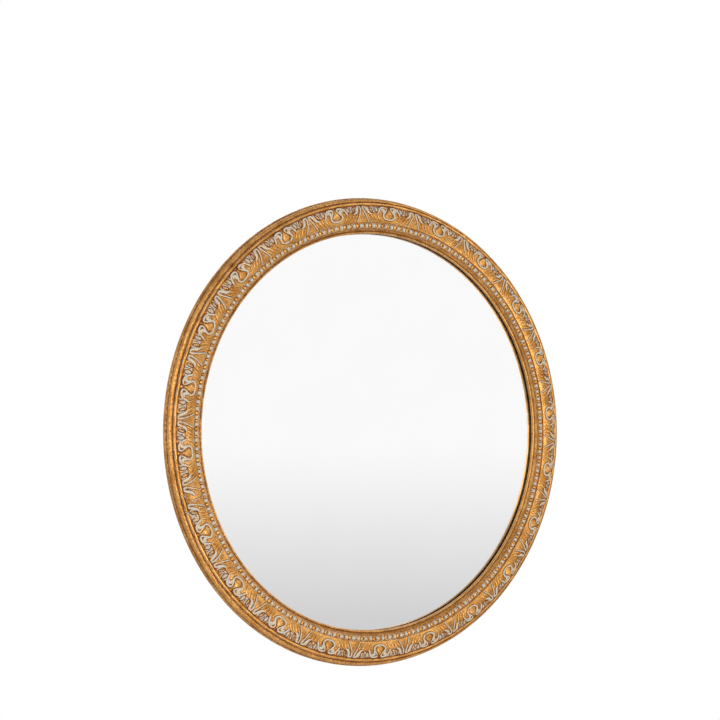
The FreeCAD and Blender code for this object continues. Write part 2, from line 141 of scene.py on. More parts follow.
def smooth_rows(rows, steps):
    """Rows along a smooth line through the given rows, with that many steps from each to the next."""
    rows = np.asarray(rows, float)
    padded = np.vstack([2 * rows[0] - rows[1], rows, 2 * rows[-1] - rows[-2]])
    t = np.linspace(0, 1, steps, endpoint=False)[:, None]
    spans = []
    for before, start, end, after in zip(padded, padded[1:], padded[2:], padded[3:]):
        square = (2 * before - 5 * start + 4 * end - after) * t ** 2
        cube = (3 * start - before - 3 * end + after) * t ** 3
        spans.append(start + ((end - before) * t + square + cube) / 2)
    return np.vstack(spans + [rows[-1:]])


class Shell:
    """Closed tubes gathered into one mesh piece, with the finish of each point.

    wash is how much pale wash lies on a point, shade how much dark bole brown it takes, as bole and as
    painted shade in creases and hollows, and along and across are its distances in metres round the frame and
    over its section."""

    def __init__(self):
        self.points, self.faces, self.materials, self.count = [], [], [], 0
        self.fields = {"wash": [], "shade": [], "along": [], "across": []}

    def add_tube(self, points, wash, shade, along, across, materials=0):
        """A grid of points, along by around, closed around and capped at both ends."""
        length, around = points.shape[:2]
        index = self.count + np.arange(length * around).reshape(length, around)
        here, ahead = index[:-1], index[1:]
        quads = np.stack([here, np.roll(here, -1, 1), np.roll(ahead, -1, 1), ahead], axis=-1)
        self.faces += quads.reshape(-1, 4).tolist() + [index[0].tolist(), index[-1].tolist()]
        self.materials += np.broadcast_to(materials, here.shape).ravel().tolist() + [0, 0]
        self.points.append(points.reshape(-1, 3))
        for name, value in (("wash", wash), ("shade", shade), ("along", along), ("across", across)):
            self.fields[name].append(np.broadcast_to(value, (length, around)).ravel())
        self.count += length * around

    def piece(self, name, materials, sharp_degrees=50.0):
        """The mesh object, with normals outwards and only sharp edges left sharp."""
        mesh = bpy.data.meshes.new(name)
        mesh.from_pydata(np.vstack(self.points).tolist(), [], self.faces)
        mesh.polygons.foreach_set("material_index", np.array(self.materials, np.int32))
        for field, values in self.fields.items():
            layer = mesh.attributes.new(field, "FLOAT", "POINT")
            layer.data.foreach_set("value", np.concatenate(values).astype(np.float32))
        return finish_mesh(mesh, name, materials, sharp_degrees)


def finish_mesh(mesh, name, materials, sharp_degrees):
    """An object from a mesh, with its normals outwards and its edges smooth up to an angle."""
    work = bmesh.new()
    work.from_mesh(mesh)
    bmesh.ops.recalc_face_normals(work, faces=work.faces)
    work.to_mesh(mesh)
    work.free()
    mesh.polygons.foreach_set("use_smooth", np.ones(len(mesh.polygons), bool))
    mesh.set_sharp_from_angle(angle=math.radians(sharp_degrees))
    for material in materials:
        mesh.materials.append(material)
    obj = bpy.data.objects.new(name, mesh)
    bpy.context.scene.collection.objects.link(obj)
    return obj


def columns(seams):
    """Bearings of the columns of a turned mesh, with a hairline left at its seams."""
    first, last = seams[0] + seam_gap, seams[1] - seam_gap
    return np.linspace(first, last, round((last - first) / column_step) + 1)


# Materials

def srgb(red, green, blue):
    """A linear colour from 8-bit values as they show on a screen."""
    linear = [(c / 12.92 if c <= 0.04045 else ((c + 0.055) / 1.055) ** 2.4)
              for c in (red / 255, green / 255, blue / 255)]
    return (*linear, 1.0)


def grey(level):
    """A plain linear grey."""
    return (level, level, level, 1.0)


dark_gold = srgb(176, 115, 40)
light_gold = srgb(238, 182, 104)
bole = srgb(108, 62, 36)
pale_wash = srgb(181, 177, 162)
dark_wood = srgb(168, 124, 76)
light_wood = srgb(206, 168, 116)
ochre_stain = srgb(150, 102, 56)


class Nodes:
    """Short calls for building a material's nodes."""

    def __init__(self, name):
        self.material = bpy.data.materials.new(name)
        self.material.use_nodes = True
        self.tree = self.material.node_tree
        self.shader = self.tree.nodes["Principled BSDF"]

    def put(self, value, socket):
        """Links a node's output to a socket, or sets the socket to a plain value."""
        if isinstance(value, bpy.types.NodeSocket):
            self.tree.links.new(value, socket)
        else:
            socket.default_value = value

    def node(self, kind, inputs=(), **settings):
        """A node with these settings and inputs, by the inputs' names or numbers."""
        made = self.tree.nodes.new(kind)
        for key, value in settings.items():
            setattr(made, key, value)
        for key, value in dict(inputs).items():
            self.put(value, made.inputs[key])
        return made

    def field(self, name):
        """A value that the mesh holds for each point."""
        return self.node("ShaderNodeAttribute", attribute_name=name).outputs["Fac"]

    def math(self, operation, a, b):
        """The result of a sum with two values."""
        return self.node("ShaderNodeMath", {0: a, 1: b}, operation=operation).outputs[0]

    def span(self, value, low, high, to_low, to_high):
        """A value's range from low to high, mapped to another and held at its ends."""
        made = self.node("ShaderNodeMapRange", {"Value": value, "From Min": low, "From Max": high,
                                                "To Min": to_low, "To Max": to_high})
        return made.outputs["Result"]

    def mix(self, share, a, b):
        """Colour a blended into colour b by a share."""
        made = self.node("ShaderNodeMix", data_type="RGBA")
        for value, socket in ((share, made.inputs["Factor"]), (a, made.inputs[6]), (b, made.inputs[7])):
            self.put(value, socket)
        return made.outputs[2]

    def noise(self, vector, scale, detail=3.0, roughness=0.5):
        """A noise from 0 to 1, with its scale in cells to the metre."""
        inputs = {"Vector": vector, "Scale": scale, "Detail": detail, "Roughness": roughness}
        return self.node("ShaderNodeTexNoise", inputs).outputs["Fac"]

    def position(self, stretch=(1.0, 1.0, 1.0)):
        """Object coordinates, in metres, stretched along the axes."""
        source = self.node("ShaderNodeTexCoord").outputs["Object"]
        return self.node("ShaderNodeMapping", {"Vector": source, "Scale": stretch}).outputs["Vector"]

    def surface(self, stretch_along=1.0):
        """Coordinates over the frame's section, with the run round the frame stretched."""
        along = self.math("MULTIPLY", self.field("along"), stretch_along)
        return self.node("ShaderNodeCombineXYZ", {0: along, 1: self.field("across")}).outputs[0]

    def bump(self, height, depth):
        """A normal from a height from 0 to 1 that stands for that depth in metres."""
        made = self.node("ShaderNodeBump", {"Height": height, "Distance": depth, "Strength": 1.0})
        return made.outputs["Normal"]

    def done(self, **inputs):
        """Sets the shader's inputs, with _ for the spaces in their names, and gives the material."""
        for key, value in inputs.items():
            self.put(value, self.shader.inputs[key.replace("_", " ")])
        return self.material


def gilt():
    """Gold leaf over red-brown bole, turned bole brown as painted shade where shade is high, with a pale wash
    left on the relief, polished where shade is below 0.
    """
    m = Nodes("gilt")
    patches = m.noise(m.surface(), 55.0, 2.0)
    streaks = m.noise(m.surface(0.06), 900.0, 3.0)
    grain = m.noise(m.surface(), 1400.0, 4.0, 0.6)
    tone = m.math("ADD", m.math("MULTIPLY", patches, 0.5), m.math("MULTIPLY", streaks, 0.5))
    gold = m.mix(m.span(tone, 0.36, 0.64, 0.0, 1.0), dark_gold, light_gold)
    fine_mottle = m.span(grain, 0.3, 0.7, -0.2, 0.2)
    broad_mottle = m.span(m.noise(m.surface(), 340.0), 0.3, 0.7, -0.32, 0.32)
    # The shade field turns the leaf bole brown both where bole is bared and as painted shade in creases and
    # hollows; the mottles add random wear
    wear_and_shade = m.math("ADD", m.field("shade"), m.math("ADD", fine_mottle, broad_mottle))
    bole_and_shade_share = m.span(wear_and_shade, 0.12, 0.95, 0.0, 1.0)
    leaf = m.mix(bole_and_shade_share, gold, bole)
    rubbed = m.noise(m.surface(), 260.0, 2.0)
    rub = m.math("ADD", m.span(grain, 0.35, 0.75, 0.0, 0.35), m.span(rubbed, 0.45, 0.70, 0.0, 0.75))
    pale = m.math("SUBTRACT", m.field("wash"), rub)
    wash_share = m.span(pale, 0.1, 0.55, 0.0, 0.94)
    colour = m.mix(wash_share, leaf, pale_wash)
    bare_leaf = m.span(wash_share, 0.0, 0.8, 0.85, 0.0)
    metal = m.math("MULTIPLY", bare_leaf, m.span(bole_and_shade_share, 0.0, 1.0, 1.0, 0.3))
    rough = m.math("ADD", m.span(wash_share, 0.0, 1.0, 0.40, 0.62), m.span(grain, 0.3, 0.7, -0.06, 0.1))
    sheen = m.span(bole_and_shade_share, 0.0, 0.8, 0.5, 0.1)
    polish = m.span(m.field("shade"), -0.6, 0.0, -0.2, 0.0)
    return m.done(Base_Color=colour, Metallic=metal, Roughness=m.math("ADD", rough, polish),
                  Specular_IOR_Level=sheen, Normal=m.bump(grain, 0.00008))


def bare_wood():
    """The frame's back: bare wood with its grain round the ring, thinly stained ochre."""
    m = Nodes("bare_wood")
    grain = m.noise(m.surface(0.05), 1100.0, 5.0, 0.6)
    clouds = m.noise(m.surface(0.4), 40.0, 2.0)
    light = m.mix(m.span(grain, 0.35, 0.68, 0.0, 1.0), dark_wood, light_wood)
    colour = m.mix(m.span(clouds, 0.35, 0.7, 0.0, 0.45), light, ochre_stain)
    rough = m.span(grain, 0.2, 0.8, 0.62, 0.8)
    return m.done(Base_Color=colour, Roughness=rough, Normal=m.bump(grain, 0.0001))


def plain_glass():
    """Clear float glass with the faintest haze."""
    m = Nodes("pane_glass")
    haze = m.noise(m.position(), 9.0, 2.0)
    return m.done(Base_Color=grey(1.0), Roughness=m.span(haze, 0.4, 0.8, 0.0, 0.004),
                  IOR=1.5, Transmission_Weight=1.0)


def silvering():
    """Mirror silver with the faintest clouds."""
    m = Nodes("silvering")
    cloud = m.noise(m.position(), 14.0, 3.0)
    colour = m.mix(m.span(cloud, 0.3, 0.7, 0.0, 1.0), grey(0.945), grey(0.955))
    return m.done(Base_Color=colour, Metallic=1.0, Roughness=0.0)


def speckled(name, dark, light, scale, rough, depth, stretch=(1.0, 1.0, 1.0), metallic=0.0):
    """A plain stuff with a grain: two colours, a grain size and a bump depth."""
    m = Nodes(name)
    grain = m.noise(m.position(stretch), scale, 4.0, 0.6)
    clouds = m.noise(m.position(), scale / 25, 2.0)
    mixed = m.math("ADD", m.math("MULTIPLY", grain, 0.7), m.math("MULTIPLY", clouds, 0.3))
    colour = m.mix(m.span(mixed, 0.35, 0.65, 0.0, 1.0), dark, light)
    roughness = m.span(grain, 0.25, 0.75, rough - 0.08, rough + 0.08)
    return m.done(Base_Color=colour, Metallic=metallic, Roughness=roughness, Normal=m.bump(grain, depth))


gilding = gilt()
wood = bare_wood()
brass = speckled("brass", srgb(150, 112, 52), srgb(214, 172, 96), 900.0, 0.3, 0.00002, (1, 1, 0.1), 1.0)
steel = speckled("screw_steel", srgb(150, 150, 150), srgb(205, 205, 202), 1500.0, 0.3, 0.00002, metallic=1.0)
zinc = speckled("zinc_plate", srgb(148, 152, 156), srgb(206, 208, 208), 700.0, 0.36, 0.00002,
                (1, 1, 0.15), 1.0)
wire = speckled("ring_wire", srgb(160, 162, 164), srgb(214, 214, 212), 900.0, 0.25, 0.00001, metallic=1.0)
hardboard = speckled("hardboard", srgb(98, 68, 44), srgb(146, 108, 74), 700.0, 0.66, 0.00012)
rubber = speckled("bumper_rubber", srgb(44, 42, 40), srgb(74, 71, 68), 1200.0, 0.6, 0.00005)
cork = speckled("cork", srgb(138, 98, 62), srgb(190, 148, 102), 1600.0, 0.85, 0.0002)
foam = speckled("foam", srgb(196, 196, 192), srgb(232, 232, 228), 1800.0, 0.9, 0.0002)
beech = speckled("beech", srgb(190, 148, 98), srgb(222, 186, 138), 500.0, 0.6, 0.0001, (0.1, 1, 1))


# The moulding

softened_edge = 0.3
fillet_edge = 0.2
sight_quirk_depth = 0.5
sight_face_drop = 1.0
# Arcs of the section, each as three points of radius and height
reed_split = (outer_radius - 1.6, 9.2)
lower_reed_arc = ((outer_radius - 1.8, 1.2), (outer_radius + 0.7, 6.3), reed_split)
upper_reed_arc = (reed_split, (outer_radius - 1.5, 12.2), (outer_radius - 4.9, 14.9))
cove_middle = ((cove_outer_radius + cove_inner_radius) / 2 + 0.28,
               (sight_fillet_height + lip_height) / 2 - 0.2)
cove_arc = ((cove_outer_radius, sight_fillet_height), cove_middle, (cove_inner_radius, lip_height))
nose_arc = ((nose_outer_radius, lip_height - 0.2), (sight_radius + 0.5, lip_height + 0.1),
            (sight_radius, lip_height - 0.6))
# The quirk between reeds and ridge: mm in from the outer radius, height, shade and wash; its shade is painted
# shade, darkest in its bottom
quirk = ((5.2, 14.3, 0.1, 0.1), (5.5, 13.4, 0.25, 0.15), (5.8, 12.8, 0.4, 0.2), (6.1, 12.9, 0.4, 0.25),
         (6.4, 14.1, 0.2, 0.4))
# Finishes beside the edges: painted shade towards the split of the reeds and down the cove, and shade and
# wash of the pale line along the ridge
reed_split_shades = (0.5, 0.7, 0.95, 0.95)
cove_shades = (0.25, 0.05, 0.0, 0.1, 0.5, 0.75, 0.7)
pale_line = ((0.6, 0.3), (0.2, 0.7), (0.2, 0.7), (0.4, 0.2))
nose_points = 10
bare_bands = 3  # the bands of the section in the rabbet and on the back, which have no gilding


def finished_arc(three_points, count, crest_shade, edge_shade, crest_wash=0.0):
    """Rows of radius, height, shade and wash over an arc that is darker at its edges, with painted shade
    where it meets its neighbours.
    """
    rows = []
    for share, (radius, height) in zip(np.linspace(-1, 1, count), arc_points(*three_points, count)):
        shade = crest_shade + (edge_shade - crest_shade) * abs(share) ** 5
        rows.append((radius, height, shade, crest_wash * (1 - share ** 2)))
    return rows


def nose_shade(share):
    """Painted shade beside the sight quirk, darker over the top and polished at the inner edge."""
    return 0.42 + 0.3 * (1 - share) ** 4 - share ** 4


def moulding_rows():
    """The moulding's section from the back's outer edge over the face to the rabbet, with its finish and its
    painted shade.
    """
    lower_reed = np.array(finished_arc(lower_reed_arc, 18, 0.42, 0.8))
    lower_reed[-len(reed_split_shades):, 2] = reed_split_shades
    ridge = np.array(finished_arc(ridge_arc, 14, 0.15, 0.35))
    ridge[:len(pale_line), 2:] = pale_line
    rows = [(back_radius, 0.0, 0.2, 0.0)] + lower_reed.tolist()
    rows += finished_arc(upper_reed_arc, 16, 0.32, 0.7, 0.15)
    rows += [(outer_radius - inset, *rest) for inset, *rest in quirk]
    rows += ridge.tolist()
    # The seats under the strips are dark all over, painted shade in the hairlines beside the strips; the
    # fillet beside the beads is darker
    rows += [(frieze_outer_radius, strip_outer_height, 1.0, 0.0),
             (frieze_inner_radius, strip_inner_height, 1.0, 0.0),
             (frieze_inner_radius, bead_bed_height, 1.0, 0.0),
             (bead_inner_radius, bead_bed_height, 1.0, 0.0),
             (bead_inner_radius, sight_fillet_height - softened_edge, 0.85, 0.3),
             (bead_inner_radius - fillet_edge, sight_fillet_height, 0.75, 0.4),
             (cove_outer_radius + softened_edge, sight_fillet_height, 0.65, 0.3)]
    rows += [(radius, height, shade, 0.1)
             for shade, (radius, height) in zip(cove_shades, arc_points(*cove_arc, len(cove_shades)))]
    # Painted shade in the sight quirk
    rows += [(cove_inner_radius - sight_quirk_width / 2, lip_height - sight_quirk_depth, 0.9, 0.0)]
    nose_shares = np.linspace(0, 1, nose_points)
    rows += [(radius, height, nose_shade(share), 0.18)
             for share, (radius, height) in zip(nose_shares, arc_points(*nose_arc, nose_points))]
    rows += [(sight_radius, lip_height - sight_face_drop, -0.6, 0.1),
             (sight_radius, rabbet_height + softened_edge, -0.6, 0.1),
             (sight_radius + softened_edge, rabbet_height, 0.8, 0.0),
             (rabbet_radius, rabbet_height, 0.8, 0.0),
             (rabbet_radius, 0.0, 0.2, 0.0)]
    return np.array(rows)


def turned_tube(shell, rows, seams, materials=0):
    """A closed section turned about the mirror's axis along one arc of the frame."""
    radius, height, shade, wash = rows.T
    bearing = columns(seams)[:, None]
    steps = np.hypot(np.diff(radius), np.diff(height))
    across = np.concatenate([[0], np.cumsum(steps)]) * MM
    along = np.radians(bearing) * frieze_middle_radius * MM
    shell.add_tube(place(radius, height, bearing), wash, shade, along, across, materials)


def moulding(side):
    """One wooden arc of the frame: gilt on its face, bare on its back and in its rabbet."""
    rows = moulding_rows()
    bare = np.zeros(len(rows), int)
    bare[-bare_bands:] = 1
    shell = Shell()
    turned_tube(shell, rows, arcs[side]["seams"], bare)
    obj = shell.piece("moulding_" + side, [gilding, wood])
    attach(obj, "frame")
    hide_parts("frame_segment_" + side)


# The ornament

# Strokes on the frieze. A row is a place, as shares of half a repeat along it and of the frieze's width from
# its outer edge, then a half width and a relief in mm.
rib = ((0.048, 0.10, 1.25, 1.3), (0.052, 0.21, 1.25, 1.3), (0.074, 0.37, 1.10, 1.2),
       (0.110, 0.53, 1.00, 1.1), (0.150, 0.69, 0.95, 1.0), (0.190, 0.84, 0.90, 0.9),
       (0.216, 0.94, 0.80, 0.8))
stem = ((0.018, 0.14, 0.50, 0.7), (0.020, 0.45, 0.50, 0.6), (0.036, 0.80, 0.40, 0.4))
leaf = ((0.072, 0.095, 0.95, 1.2), (0.108, 0.085, 1.20, 1.3), (0.146, 0.13, 1.80, 1.5),
        (0.174, 0.23, 2.20, 1.6), (0.212, 0.38, 2.00, 1.6), (0.262, 0.47, 1.60, 1.5),
        (0.315, 0.50, 1.10, 1.2))
body = ((0.262, 0.16, 2.2, 0.4), (0.300, 0.21, 3.8, 0.45), (0.360, 0.23, 4.6, 0.5),
        (0.430, 0.23, 4.5, 0.5), (0.500, 0.22, 4.9, 0.5), (0.560, 0.21, 4.9, 0.5),
        (0.610, 0.20, 3.6, 0.45), (0.640, 0.20, 2.2, 0.4))
near_ring = ((0.268, 0.12, 0.60, 0.9), (0.318, 0.11, 0.70, 1.0), (0.366, 0.22, 0.70, 1.0),
             (0.376, 0.38, 0.65, 1.0), (0.330, 0.42, 0.65, 1.0), (0.284, 0.30, 0.70, 1.0),
             (0.264, 0.14, 0.60, 0.9))
near_eye = ((0.305, 0.20, 0.70, 1.0), (0.322, 0.27, 1.10, 1.2), (0.346, 0.35, 0.70, 1.0))
far_ring = ((0.540, 0.00, 0.60, 0.9), (0.488, 0.12, 0.70, 1.0), (0.470, 0.28, 0.70, 1.0),
            (0.524, 0.41, 0.65, 1.0), (0.588, 0.34, 0.70, 1.0), (0.594, 0.15, 0.70, 1.0),
            (0.546, 0.01, 0.60, 0.9))
far_eye = ((0.538, 0.13, 0.70, 1.1), (0.536, 0.22, 1.30, 1.3), (0.530, 0.31, 0.90, 1.1))
slit = ((0.412, 0.10, 0.50, 0.8), (0.428, 0.22, 0.60, 0.9), (0.424, 0.32, 0.50, 0.8))
scroll = ((0.590, 0.48, 1.20, 1.1), (0.603, 0.42, 1.45, 1.4), (0.632, 0.32, 1.40, 1.5),
          (0.678, 0.20, 1.30, 1.6),
          (0.742, 0.130, 1.25, 1.6), (0.825, 0.105, 1.25, 1.6), (0.898, 0.125, 1.20, 1.6),
          (0.926, 0.185, 1.10, 1.5), (0.898, 0.300, 1.15, 1.5), (0.843, 0.410, 1.30, 1.5),
          (0.793, 0.520, 1.45, 1.6), (0.784, 0.625, 1.45, 1.5), (0.822, 0.722, 1.35, 1.3),
          (0.900, 0.790, 1.20, 1.2), (1.000, 0.814, 1.15, 1.1))
tongue = ((0.722, 0.27, 1.20, 0.8), (0.770, 0.23, 2.00, 1.1), (0.810, 0.28, 2.30, 1.3),
          (0.806, 0.40, 1.80, 1.2))
drop = ((1.0, 0.15, 0.5, 0.8), (1.0, 0.25, 1.5, 1.6), (1.0, 0.36, 3.0, 2.0), (1.0, 0.47, 4.8, 1.7),
        (1.0, 0.57, 5.6, 1.1), (1.0, 0.65, 5.0, 0.7), (1.0, 0.70, 3.4, 0.4))
palmette_swell = ((-0.150, -0.075, 0.7, 0.3), (-0.070, -0.085, 1.1, 0.7), (0.0, -0.090, 1.2, 0.8),
                  (0.070, -0.085, 1.1, 0.7), (0.150, -0.075, 0.7, 0.3))
scroll_swell = tuple((1 + along, *rest) for along, *rest in palmette_swell)
palmette_shadow = ((-0.200, 0.06, 0.4, 0.1), (-0.110, -0.01, 0.7, 0.15), (0.0, 0.02, 0.6, 0.15),
                   (0.110, -0.01, 0.7, 0.15), (0.200, 0.06, 0.4, 0.1))
shoulder_shadow = ((0.640, 0.16, 0.4, 0.1), (0.720, 0.04, 0.6, 0.15), (0.825, 0.00, 0.75, 0.15),
                   (0.920, 0.04, 0.6, 0.15), (0.970, 0.14, 0.4, 0.1))
# A vein's place along the half repeat, its width as a share of the widest, and its relief
vein_places = ((0.185, 0.8, 0.65), (0.310, 1.0, 0.85), (0.425, 0.7, 0.6), (0.560, 0.9, 0.75))
veins = [((x, 0.51, 0.6 * width, 0.6 * rise), (x + 0.034, 0.64, 1.3 * width, rise),
          (x + 0.080, 0.79, 1.2 * width, 0.8 * rise), (x + 0.132, 0.92, 0.6 * width, 0.3 * rise))
         for x, width, rise in vein_places]
# What the lower seam leaves: the right strip's last rib, cut short, and the strays beside the seam
cut_rib = ((0.056, 0.28, 0.70, 1.0), (0.058, 0.60, 0.70, 1.0), (0.054, 0.96, 0.70, 0.8))
long_stray = ((0.205, -0.17, 0.60, 0.8), (0.270, -0.06, 0.80, 1.1), (0.360, 0.08, 1.00, 1.3),
              (0.440, 0.22, 1.10, 1.4), (0.500, 0.37, 1.10, 1.2))
short_stray = ((0.318, 0.10, 0.50, 0.9), (0.285, 0.02, 0.60, 1.0), (0.245, -0.08, 0.50, 0.9))

stroke_steps = 5
cap_turns = np.radians((30, 60, 85))
flange = 0.6  # mm of dark bole and painted shade drawn round each stroke, where it meets the ground
flange_rise = 0.05
stroke_sink = 0.5
# A stroke's section: share of its half width, share of its relief, wash and shade; the shade at its foot is
# bole and painted shade where it meets the ground
stroke_section = np.array([
    (-1.0, 0.0, 0.0, 1.0), (-0.92, 0.38, 0.15, 0.85), (-0.70, 0.74, 0.75, 0.25), (-0.36, 0.95, 1.0, 0.0),
    (0.0, 1.0, 1.0, 0.0), (0.36, 0.95, 1.0, 0.0), (0.70, 0.74, 0.75, 0.25), (0.92, 0.38, 0.15, 0.85),
    (1.0, 0.0, 0.0, 1.0)])
# Bole and painted shade on the ground, darkest between the curls of the outer zone, at shares of the frieze's
# width from its outer edge
ground_shade_shares = (0, 0.06, 0.12, 0.5, 0.66, 0.82, 0.92, 1.0)
ground_shades = (0.1, 0.2, 0.6, 0.5, 0.35, 0.08, 0.1, 0.25)
ground_points = 26


def stroke_shape(rows, half_repeat):
    """A stroke as arrays, along by around: mm along and across the frieze, and mm off its face."""
    line = smooth_rows(rows, stroke_steps) * (half_repeat, frieze_width, 1, 1)
    heading = np.gradient(line[:, :2], axis=0)
    heading /= np.linalg.norm(heading, axis=1)[:, None]
    caps = []
    for end, out in ((line[0], -heading[0]), (line[-1], heading[-1])):
        caps.append([np.append(end[:2] + out * end[2] * math.sin(t),
                               (end[2] * math.cos(t), end[3] * math.sqrt(math.cos(t)))) for t in cap_turns])
    line = np.vstack([caps[0][::-1], line, caps[1]])
    turns = len(cap_turns)
    heading = np.vstack([[heading[0]] * turns, heading, [heading[-1]] * turns])
    side = np.stack([-heading[:, 1], heading[:, 0]], axis=1)
    width, relief = line[:, 2:3], line[:, 3:4]
    share, rise = stroke_section[:, 0], stroke_section[:, 1]
    edge = width + flange
    offset = np.hstack([-edge, -edge, width * share, edge, edge])
    lift = np.hstack([0 * edge - stroke_sink, 0 * edge + flange_rise, relief * rise + flange_rise,
                      0 * edge + flange_rise, 0 * edge - stroke_sink])
    return line[:, 0:1] + side[:, 0:1] * offset, line[:, 1:2] + side[:, 1:2] * offset, lift


def add_stroke(shell, shape, mirror, bearing, repeat, half_repeat, pale, dark, core):
    """A stroke on the frieze, beside the palmette at a bearing, after it or mirrored before it.

    pale is the wash on its crest, dark the bole and painted shade along its edges and core the painted shade
    on its crest."""
    x, y, lift = shape
    radius = frieze_outer_radius - y
    step = 0.05
    slope = np.clip((face_height(radius + step) - face_height(radius - step)) / (2 * step), -1, 1)
    steep = np.sqrt(1 + slope ** 2)
    turn = bearing + mirror * x / half_repeat * repeat / 2
    points = place(radius - lift * slope / steep, face_height(radius) + lift / steep, turn)
    wash = np.concatenate([[0, 0], stroke_section[:, 2], [0, 0]]) * pale
    edge_share = np.concatenate([[1, 0.8], stroke_section[:, 3], [0.8, 1]])
    shade = edge_share * dark + (1 - edge_share) * core
    along = np.radians(turn) * frieze_middle_radius * MM
    shell.add_tube(points, wash, shade, along, y * MM)


def ground_rows():
    """Section of the ornament strip's ground: the crowned face and the seat under it."""
    edge = strip_clearance
    radius = np.linspace(frieze_outer_radius - edge, frieze_inner_radius + edge, ground_points)
    share = (frieze_outer_radius - radius) / frieze_width
    shade = np.interp(share, ground_shade_shares, ground_shades)
    face = np.stack([radius, arc_height(crown_arc, radius), shade, 0 * radius], axis=1)
    seat = [(frieze_inner_radius + edge, strip_inner_height + edge, 0.35, 0.0),
            (frieze_outer_radius - edge, strip_outer_height + edge, 1.0, 0.0)]
    return np.vstack([face, seat])


def palmette_bearings(side):
    """Bearings of a strip's palmettes, whose repeats stretch widens along it and lead moves on."""
    first, last = arcs[side]["palmettes"]
    share = np.linspace(0, 1, arcs[side]["repeats"] + 1)
    stretch, lead = arcs[side]["stretch"], arcs[side]["lead"]
    return first + (last - first) * share * (1 - (stretch - lead * share) * (1 - share))


def ornament(side):
    """The moulded strip of one arc: palmettes, leaves and scrolls on a crowned gilt ground."""
    bearings = palmette_bearings(side)
    start, end = arcs[side]["seams"]
    mean_repeat = (bearings[-1] - bearings[0]) / arcs[side]["repeats"]
    half_repeat = math.radians(mean_repeat / 2) * frieze_middle_radius
    shell = Shell()
    turned_tube(shell, ground_rows(), (start, end))

    def shapes(strokes, pale, dark, core=0.0):
        return [(stroke_shape(rows, half_repeat), pale, dark, core) for rows in strokes]

    def add(made, mirror, bearing, repeat=mean_repeat):
        for shape, pale, dark, core in made:
            add_stroke(shell, shape, mirror, bearing, repeat, half_repeat, pale, dark, core)

    sides = shapes((rib, leaf, body, scroll, tongue), 1.0, 0.85)
    sides += shapes((near_eye, stem), 0.35, 0.7) + shapes((far_eye,), 0.8, 0.8) + shapes(veins, 0.0, 0.75)
    # Rings, slit and shoulder shadow are dark all over: painted shade in the hollows round the eyes, in the
    # slits and under the shoulders
    sides += shapes((near_ring, far_ring, slit, shoulder_shadow), 0.0, 1.0, 1.0)
    # The drop's core is painted shade in its hollow, and the palmette shadow is painted shadow under the
    # palmette's arch
    middles = shapes((drop,), 0.0, 0.8, 0.25) + shapes((scroll_swell,), 0.0, 0.4)
    swell = shapes((palmette_swell,), 0.0, 0.4) + shapes((palmette_shadow,), 0.0, 1.0, 1.0)
    for bearing, following in zip(bearings, bearings[1:]):
        add(sides + middles, 1, bearing, following - bearing)
        add(sides, -1, following, following - bearing)
    for bearing in bearings:
        if start < bearing < end:
            add(swell, 1, bearing)
    if side == "left":
        add(shapes((rib, leaf, short_stray), 1.0, 1.0) + shapes((stem,), 0.35, 0.7), -1, bearings[0])
    else:
        add(shapes((cut_rib,), 0.8, 0.8) + shapes((stem,), 0.35, 0.7), 1, bearings[-1])
        add(shapes((long_stray,), 1.0, 1.0), -1, bearings[-1])
    obj = shell.piece("ornament_" + side, [gilding])
    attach(obj, "frame")
    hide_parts("ornament_strip_" + side)


# The bead-and-reel string

bead_pitch = 18.6
bead_half, bead_size = 2.5, 3.0
reel_half, reel_waist, reel_flare = 2.0, 2.2, 0.9
reel_middle = 5.25
pip_half, pip_size = 1.8, 2.5
neck_size = 1.1
string_height = 16.9
string_samples = 48
string_sides = np.radians(np.linspace(-115, 115, 13))
bead_base_height = 17.2
base_border = 0.9
cut_share = 0.25  # of a pitch, from a large bead's middle to the seam
foot_start, foot_painted_shade = 0.55, 1.2


def string_row(distance):
    """Radius, wash and shade of the string at a distance from the nearest large bead's middle."""
    from_reel = abs(distance - reel_middle)
    from_pip = abs(distance - bead_pitch / 2)
    # Shade rises towards the edges of beads and pips and fills the necks: painted shade where the parts meet
    if distance < bead_half:
        share = distance / bead_half
        return max(bead_size * math.sqrt(1 - share ** 2), neck_size), 0.0, 0.05 + 0.9 * share ** 4
    if from_reel < reel_half:
        share = from_reel / reel_half
        return reel_waist + reel_flare * share ** 2, 1.0, 0.0
    if from_pip < pip_half:
        share = from_pip / pip_half
        return max(pip_size * math.sqrt(1 - share ** 2), neck_size), 0.0, 0.15 + 0.8 * share ** 4
    return neck_size, 0.25, 0.65


